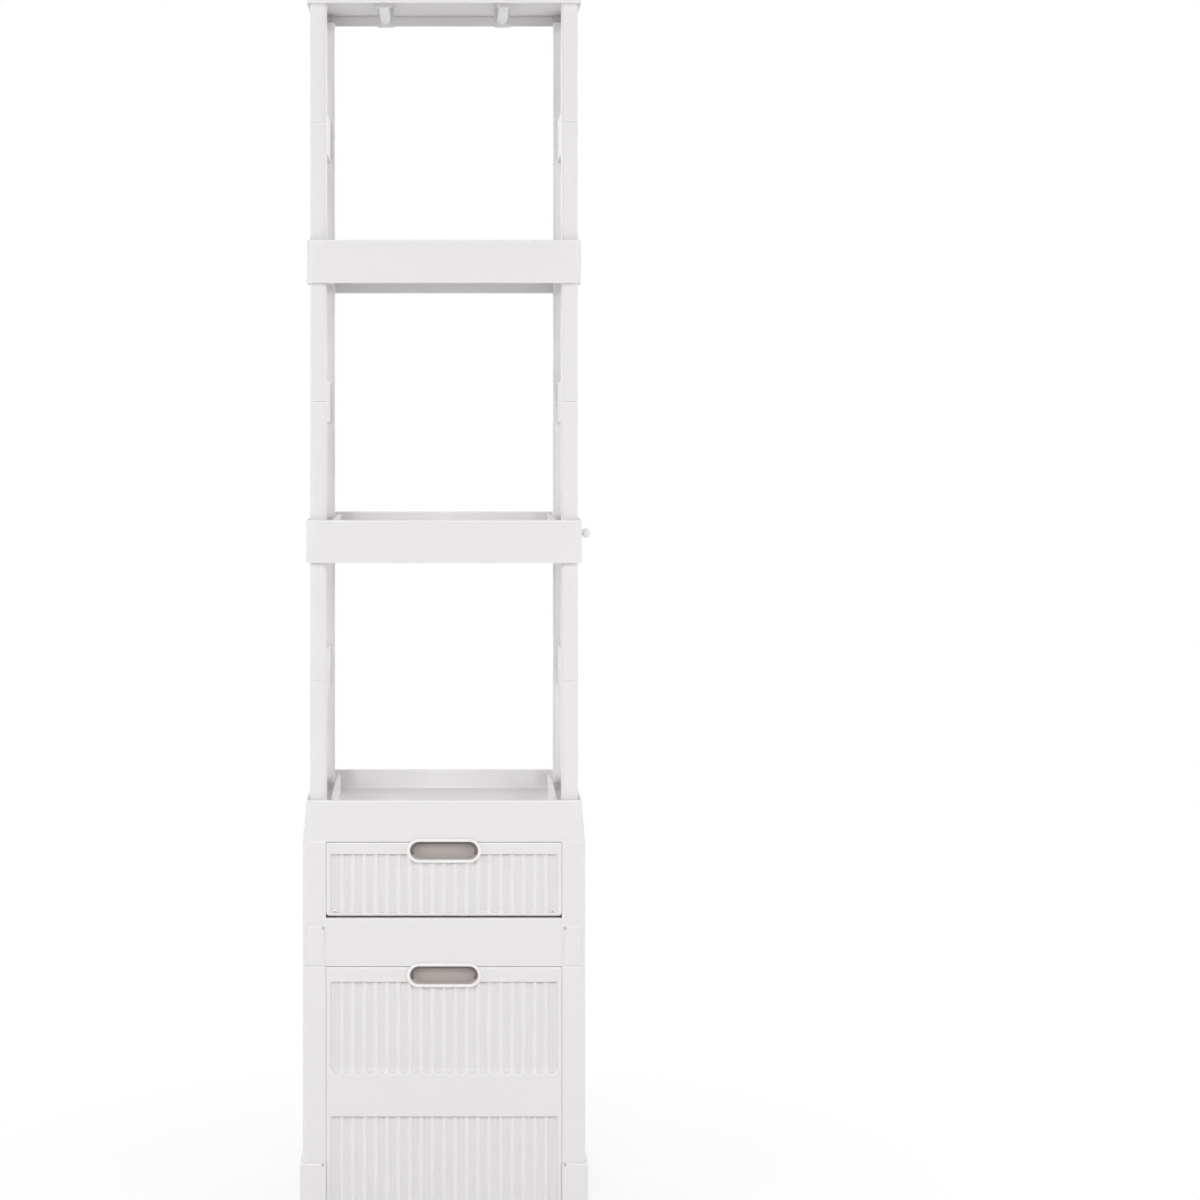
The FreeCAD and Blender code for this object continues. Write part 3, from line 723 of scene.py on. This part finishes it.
class WARDROBE_OT_seam_clips(bpy.types.Operator):
    """Model the small snap buttons where the stiles meet the base and the middle frame"""

    bl_idname = "wardrobe.seam_clips"
    bl_label = "Seam clips"

    def execute(self, context):
        tone = looks()
        radius = sizes().clip_radius
        grey = plastic("clip_grey", tone.clip, tone.magnet, gloss=(0.4, 0.55), dust=0.0)
        base_low, base_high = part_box("base_frame")
        cap_low, cap_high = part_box("middle_caps")
        door_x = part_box("lower_door")[1][0]
        rows = (("base_clip", base_low[1], base_high[2] - CLIP_DROP * radius),
                ("middle_clip", cap_low[1], cap_high[2] - CLIP_DROP * radius))
        for name, front, height in rows:
            for label, side in SIDES:
                clear_selection()
                bpy.ops.mesh.primitive_cylinder_add(
                    vertices=24, radius=radius, depth=CLIP_DEPTH, rotation=FACE_FRONT,
                    location=(side * (door_x + CLIP_ASIDE * radius),
                              front + CLIP_DEPTH / 2 - CLIP_PROUD, height))
                piece = named(f"{name}_{label}")
                bpy.ops.object.transform_apply(location=True, rotation=True)
                edit(piece)
                pick(piece, "faces", lambda at, normal: normal.y < -FACING)
                bpy.ops.mesh.inset(thickness=radius * CLIP_BORDER)
                bpy.ops.transform.translate(value=(0, CLIP_DISH, 0))
                brim = front - CLIP_PROUD + NEAR
                pick(piece, "edges", lambda at, normal: at.y < brim)
                bpy.ops.mesh.bevel(offset=CLIP_ROUND, segments=2, affect="EDGES")
                close(piece)
                give(piece, grey)
                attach(piece, "cabinet")
        return {"FINISHED"}


class WARDROBE_OT_feet(bpy.types.Operator):
    """Model the rubber feet with a rounded edge and a ring groove underneath"""

    bl_idname = "wardrobe.feet"
    bl_label = "Feet"

    def execute(self, context):
        low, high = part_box("feet")
        radius = sizes().foot_radius
        groove = sizes().foot_tread
        clear_selection()
        bpy.ops.mesh.primitive_cylinder_add(
            vertices=64, radius=radius, depth=high[2] - low[2],
            location=(low[0] + radius, low[1] + radius, (low[2] + high[2]) / 2))
        first = named("rubber_feet")
        bpy.ops.object.transform_apply(location=True)
        edit(first)
        pick(first, "edges", lambda at, normal: at.z < low[2] + NEAR)
        bpy.ops.mesh.bevel(offset=FOOT_ROUND, segments=5, affect="EDGES")
        pick(first, "faces", lambda at, normal: normal.z < -FACING and at.z < low[2] + NEAR)
        for width, rise in ((TREAD_RIM, groove), (TREAD_RING, -groove)):
            bpy.ops.mesh.inset(thickness=width)
            bpy.ops.mesh.inset(thickness=TREAD_SLOPE)
            bpy.ops.transform.translate(value=(0, 0, rise))
        for move in ((high[0] - low[0] - 2 * radius, 0, 0), (0, high[1] - low[1] - 2 * radius, 0)):
            bpy.ops.mesh.select_all(action="SELECT")
            bpy.ops.mesh.duplicate()
            bpy.ops.transform.translate(value=move)
        close(first)
        give(first, rubber("tread_rubber", looks().rubber))
        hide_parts("feet")
        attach(first, "cabinet")
        return {"FINISHED"}


class WARDROBE_OT_stage(bpy.types.Operator):
    """Set the floor, the lamps and the camera"""

    bl_idname = "wardrobe.stage"
    bl_label = "Stage"

    def floor(self):
        """A pale floor that shows white away from the wardrobe."""
        clear_selection()
        bpy.ops.mesh.primitive_plane_add(size=FLOOR_SIZE)
        floor = named("floor")
        material, tree, surface = new_material("pale_floor")
        surface.inputs["Base Color"].default_value = FLOOR_TONE
        surface.inputs["Roughness"].default_value = 0.9
        surface.inputs["Specular IOR Level"].default_value = 0.1
        place = add(tree, "ShaderNodeTexCoord").outputs["Object"]
        away = add(tree, "ShaderNodeVectorMath", operation="LENGTH")
        tree.links.new(place, away.inputs[0])
        far = remap(tree, away.outputs["Value"], 0.25, 0.8, 0.8, 1.0)
        glow = add(tree, "ShaderNodeEmission", Color=WHITE, Strength=1.0)
        show_blend(tree, times(tree, far, seen_rays(tree)), surface, glow, "Material Output")
        give(floor, material)

    def world(self):
        """A soft surround that lights the wardrobe and is seen as plain white."""
        world = bpy.data.worlds.new("studio")
        bpy.context.scene.world = world
        world.use_nodes = True
        tree = world.node_tree
        surround = tree.nodes["Background"]
        surround.inputs["Color"].default_value = SURROUND_TONE
        surround.inputs["Strength"].default_value = SURROUND_STRENGTH
        white = add(tree, "ShaderNodeBackground", Color=WHITE, Strength=1.0)
        show_blend(tree, seen_rays(tree), surround, white, "World Output")

    def lamp(self, name, place, aim, size, power):
        """A rectangular lamp that looks at a point."""
        clear_selection()
        bpy.ops.object.light_add(type="AREA", location=place)
        lamp = named(name)
        lamp.data.shape = "RECTANGLE"
        lamp.data.size, lamp.data.size_y = size
        lamp.data.energy = power
        lamp.rotation_euler = (Vector(aim) - Vector(place)).to_track_quat("-Z", "Y").to_euler()

    def execute(self, context):
        self.floor()
        self.world()
        self.lamp(*KEY_LAMP)
        for label, side in SIDES:
            for name, (x, y, z), aim, size, power in PAIRED_LAMPS:
                self.lamp(f"{label}_{name}", (side * x, y, z), aim, size, power)
        self.lamp(*OVERHEAD_LAMP)
        clear_selection()
        place = sizes()
        bpy.ops.object.camera_add(
            location=(0, -place.camera_distance, place.camera_height), rotation=FACE_FRONT)
        camera = named("photo_camera")
        camera.data.sensor_width = SENSOR_WIDTH
        camera.data.lens = place.camera_lens
        camera.data.shift_x = SHIFT_X
        camera.data.shift_y = SHIFT_Y
        camera.data.clip_end = VIEW_END
        context.scene.camera = camera
        context.scene.view_settings.view_transform = "Standard"
        return {"FINISHED"}


class WARDROBE_PT_panel(bpy.types.Panel):
    """Lists the building steps and their settings"""

    bl_idname = "WARDROBE_PT_panel"
    bl_label = "Wardrobe"
    bl_space_type = "VIEW_3D"
    bl_region_type = "UI"
    bl_category = "Wardrobe"

    def draw(self, context):
        for step in STEPS:
            self.layout.operator(step.bl_idname, text=step.bl_label)
        for group in (context.scene.wardrobe_looks, context.scene.wardrobe_sizes):
            for name in group.bl_rna.properties.keys():
                if name not in ("rna_type", "name"):
                    self.layout.prop(group, name)


STEPS = (WARDROBE_OT_finishes, WARDROBE_OT_finger_pulls, WARDROBE_OT_seam_clips, WARDROBE_OT_feet,
         WARDROBE_OT_stage)
CLASSES = (WardrobeLooks, WardrobeSizes, *STEPS, WARDROBE_PT_panel)


def register():
    for item in CLASSES:
        bpy.utils.register_class(item)
    bpy.types.Scene.wardrobe_looks = bpy.props.PointerProperty(type=WardrobeLooks)
    bpy.types.Scene.wardrobe_sizes = bpy.props.PointerProperty(type=WardrobeSizes)


def unregister():
    del bpy.types.Scene.wardrobe_sizes
    del bpy.types.Scene.wardrobe_looks
    for item in reversed(CLASSES):
        bpy.utils.unregister_class(item)


def main():
    register()
    bpy.ops.wardrobe.finishes()
    bpy.ops.wardrobe.finger_pulls()
    bpy.ops.wardrobe.seam_clips()
    bpy.ops.wardrobe.feet()
    bpy.ops.wardrobe.stage()


if __name__ == "__main__":
    main()
